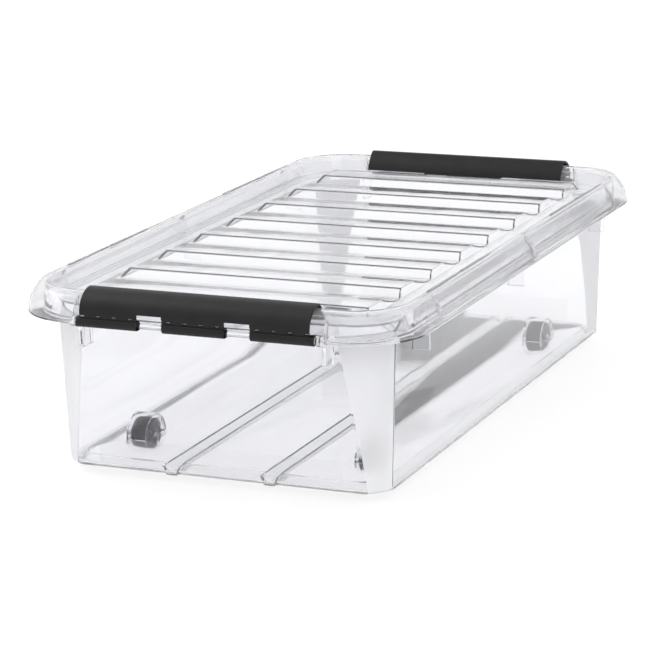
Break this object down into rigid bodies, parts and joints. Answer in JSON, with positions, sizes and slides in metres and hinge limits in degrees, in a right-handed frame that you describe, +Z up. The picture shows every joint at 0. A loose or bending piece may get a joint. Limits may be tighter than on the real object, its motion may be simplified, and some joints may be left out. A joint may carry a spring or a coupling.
{
  "type": "under bed box",
  "caption": "Long low clear plastic storage box with a ridged lift-off lid, hinged black carry clips on the short ends and small wheels set into its floor.",
  "frame": {"origin": "under the middle of the box, on the ground that the wheels stand on", "axes": "+X across the width, +Y along the length from the front clip to the rear clip, +Z up"},
  "size_m": [0.4, 0.734, 0.1906],
  "materials": {
    "clear_tub": "clear polypropylene with a faint cool tint",
    "clear_lid": "clear polypropylene with a faint cool tint",
    "black_plastic": "satin black",
    "wheel_plastic": "moulded dark grey",
    "axle_steel": "plain steel pin"
  },
  "bodies": {
    "tub": {"tub": "clear_tub", "axle_fl": "axle_steel", "axle_fr": "axle_steel", "axle_rl": "axle_steel", "axle_rr": "axle_steel"},
    "lid": {"lid": "clear_lid"},
    "front_clip": {"front_clip": "black_plastic"},
    "rear_clip": {"rear_clip": "black_plastic"},
    "wheel_fl": {"wheel_fl": "wheel_plastic"},
    "wheel_fr": {"wheel_fr": "wheel_plastic"},
    "wheel_rl": {"wheel_rl": "wheel_plastic"},
    "wheel_rr": {"wheel_rr": "wheel_plastic"}
  },
  "joints": [
    {"name": "lid_lift", "type": "slide", "parent": "tub", "child": "lid", "axis": [0, 0, 1], "range_m": [0, 0.2]},
    {"name": "front_clip_open", "type": "hinge", "parent": "lid", "child": "front_clip", "pos_m": [0, -0.362, 0.161], "axis": [1, 0, 0], "range_deg": [0, 150]},
    {"name": "rear_clip_open", "type": "hinge", "parent": "lid", "child": "rear_clip", "pos_m": [0, 0.362, 0.161], "axis": [-1, 0, 0], "range_deg": [0, 150]},
    {"name": "wheel_fl_spin", "type": "hinge", "parent": "tub", "child": "wheel_fl", "pos_m": [-0.119, -0.234, 0.017], "axis": [1, 0, 0], "continuous": true},
    {"name": "wheel_fr_spin", "type": "hinge", "parent": "tub", "child": "wheel_fr", "pos_m": [0.119, -0.234, 0.017], "axis": [1, 0, 0], "continuous": true},
    {"name": "wheel_rl_spin", "type": "hinge", "parent": "tub", "child": "wheel_rl", "pos_m": [-0.119, 0.234, 0.017], "axis": [1, 0, 0], "continuous": true},
    {"name": "wheel_rr_spin", "type": "hinge", "parent": "tub", "child": "wheel_rr", "pos_m": [0.119, 0.234, 0.017], "axis": [1, 0, 0], "continuous": true}
  ]
}
